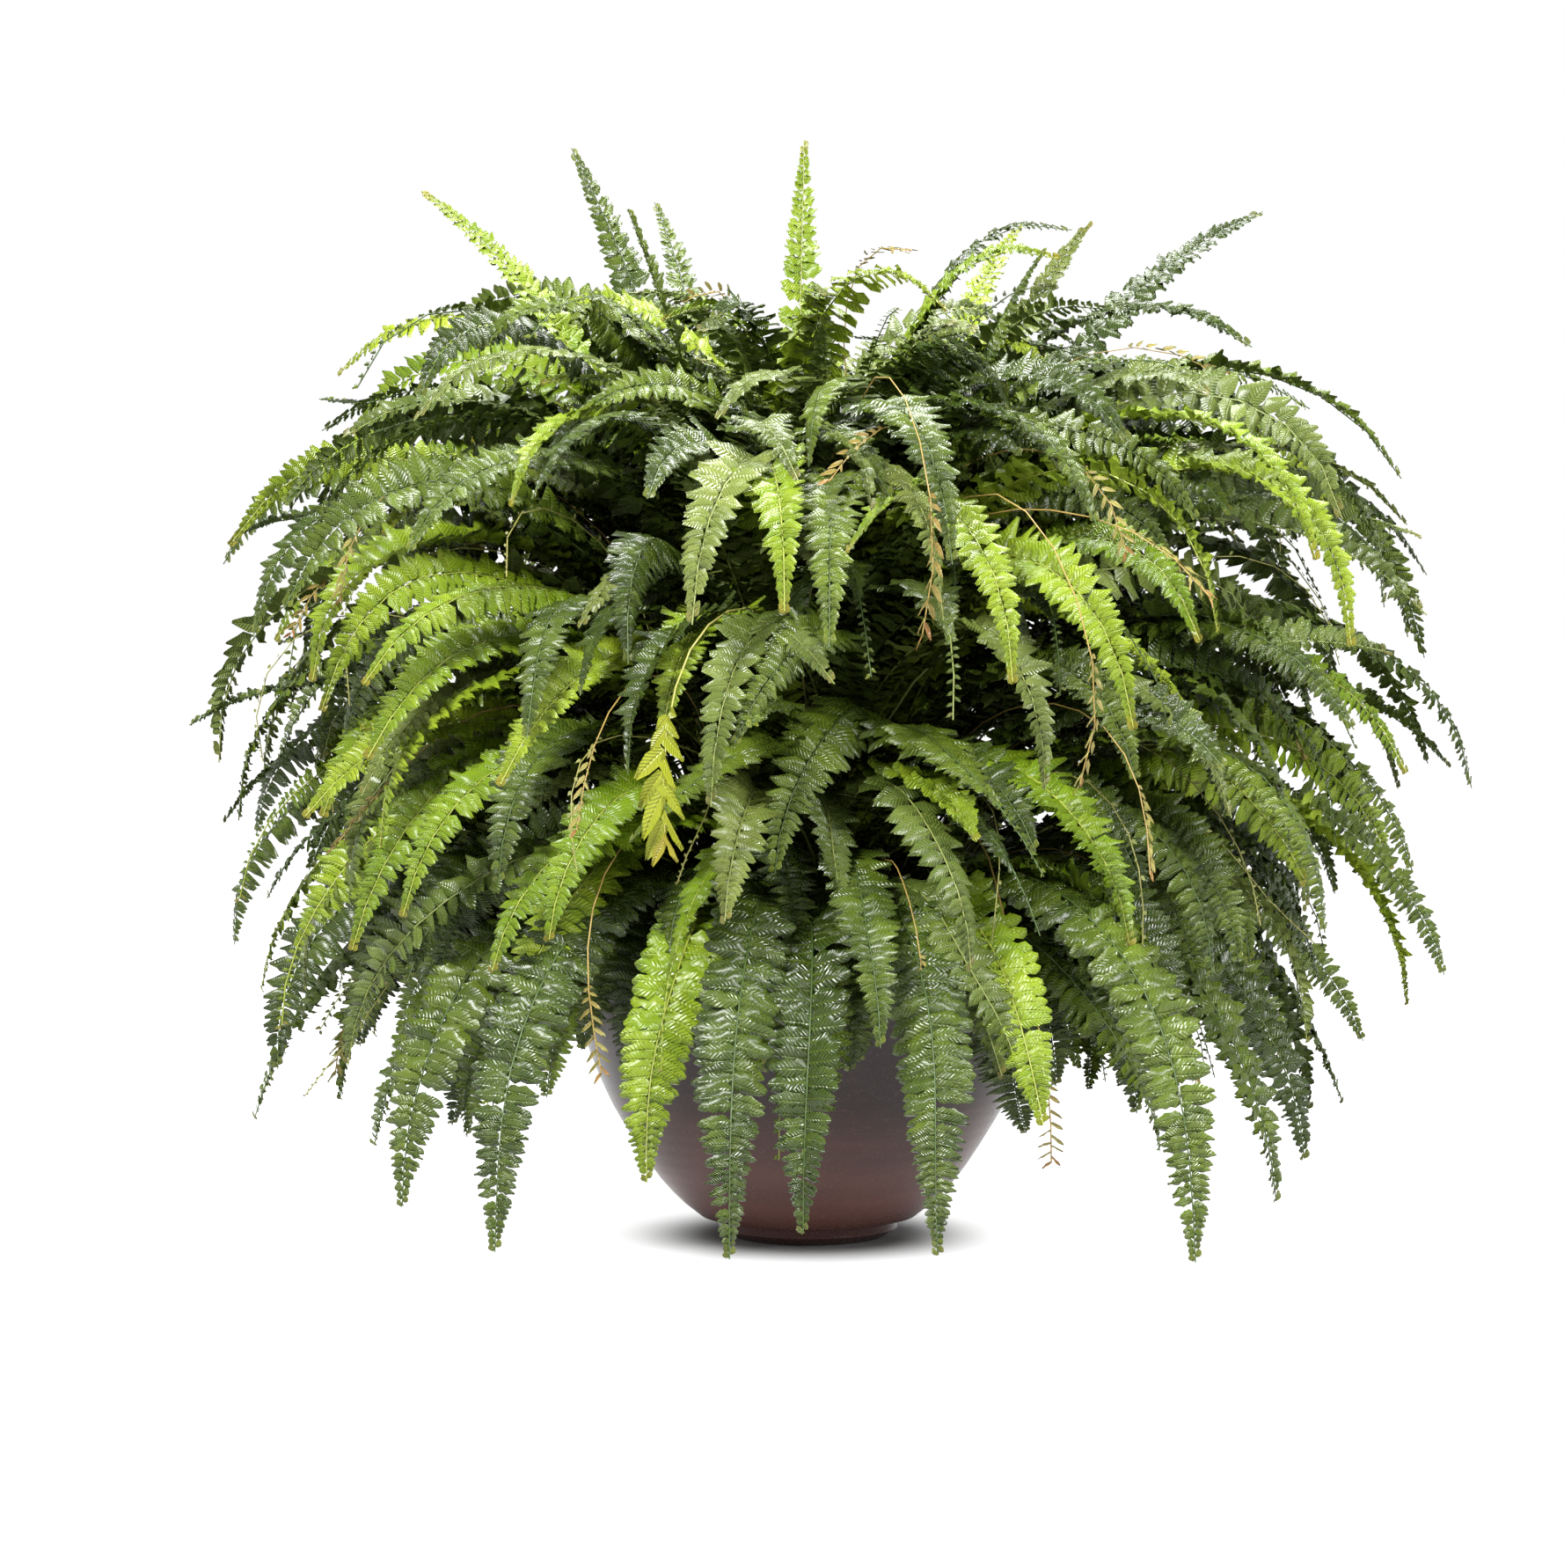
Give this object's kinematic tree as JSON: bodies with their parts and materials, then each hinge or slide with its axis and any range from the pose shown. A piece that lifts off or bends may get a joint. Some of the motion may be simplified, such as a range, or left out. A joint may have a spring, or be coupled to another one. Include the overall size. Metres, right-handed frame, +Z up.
{
  "type": "potted fern",
  "caption": "Bushy sword fern with arching, hanging and upright fronds growing from a crown in compost inside a round glazed bowl pot.",
  "frame": {"origin": "centre of the flat foot on which the pot stands", "axes": "+Z up; -Y towards the plant's front; +X to the right seen from the front"},
  "size_m": [0.9584, 0.837, 0.8399],
  "materials": {
    "pot_glaze": "gloss",
    "compost": "matte",
    "crown_fibre": "matte",
    "mature_leaf": "satin",
    "young_leaf": "satin",
    "sage_leaf": "satin"
  },
  "bodies": {
    "root": {"arching_frond_01_mature": "mature_leaf", "arching_frond_02_sage": "sage_leaf", "arching_frond_03_mature": "mature_leaf", "arching_frond_04_mature": "mature_leaf", "arching_frond_05_sage": "sage_leaf", "arching_frond_06_mature": "mature_leaf", "arching_frond_07_sage": "sage_leaf", "arching_frond_08_mature": "mature_leaf", "arching_frond_09_mature": "mature_leaf", "arching_frond_10_mature": "mature_leaf", "arching_frond_11_mature": "mature_leaf", "arching_frond_12_young": "young_leaf", "crown": "crown_fibre", "hanging_frond_01_mature": "mature_leaf", "hanging_frond_02_mature": "mature_leaf", "hanging_frond_03_mature": "mature_leaf", "hanging_frond_04_mature": "mature_leaf", "hanging_frond_05_mature": "mature_leaf", "hanging_frond_06_mature": "mature_leaf", "hanging_frond_07_mature": "mature_leaf", "hanging_frond_08_mature": "mature_leaf", "hanging_frond_09_mature": "mature_leaf", "hanging_frond_10_young": "young_leaf", "hanging_frond_11_young": "young_leaf", "hanging_frond_12_mature": "mature_leaf", "hanging_frond_13_mature": "mature_leaf", "hanging_frond_14_mature": "mature_leaf", "hanging_frond_15_mature": "mature_leaf", "hanging_frond_16_mature": "mature_leaf", "hanging_frond_17_mature": "mature_leaf", "hanging_frond_18_mature": "mature_leaf", "hanging_frond_19_mature": "mature_leaf", "pot": "pot_glaze", "potting_soil": "compost", "spreading_frond_01_mature": "mature_leaf", "spreading_frond_02_mature": "mature_leaf", "spreading_frond_03_mature": "mature_leaf", "spreading_frond_04_young": "young_leaf", "spreading_frond_05_sage": "sage_leaf", "spreading_frond_06_mature": "mature_leaf", "spreading_frond_07_mature": "mature_leaf", "spreading_frond_08_young": "young_leaf", "spreading_frond_09_mature": "mature_leaf", "spreading_frond_10_mature": "mature_leaf", "spreading_frond_11_mature": "mature_leaf", "spreading_frond_12_mature": "mature_leaf", "spreading_frond_13_sage": "sage_leaf", "spreading_frond_14_mature": "mature_leaf", "spreading_frond_15_mature": "mature_leaf", "spreading_frond_16_young": "young_leaf", "upright_frond_01_young": "young_leaf", "upright_frond_02_mature": "mature_leaf", "upright_frond_03_young": "young_leaf", "upright_frond_04_mature": "mature_leaf", "upright_frond_05_sage": "sage_leaf", "upright_frond_06_young": "young_leaf", "upright_frond_07_mature": "mature_leaf", "upright_frond_08_mature": "mature_leaf", "upright_frond_09_mature": "mature_leaf", "upright_frond_10_mature": "mature_leaf"}
  },
  "joints": []
}
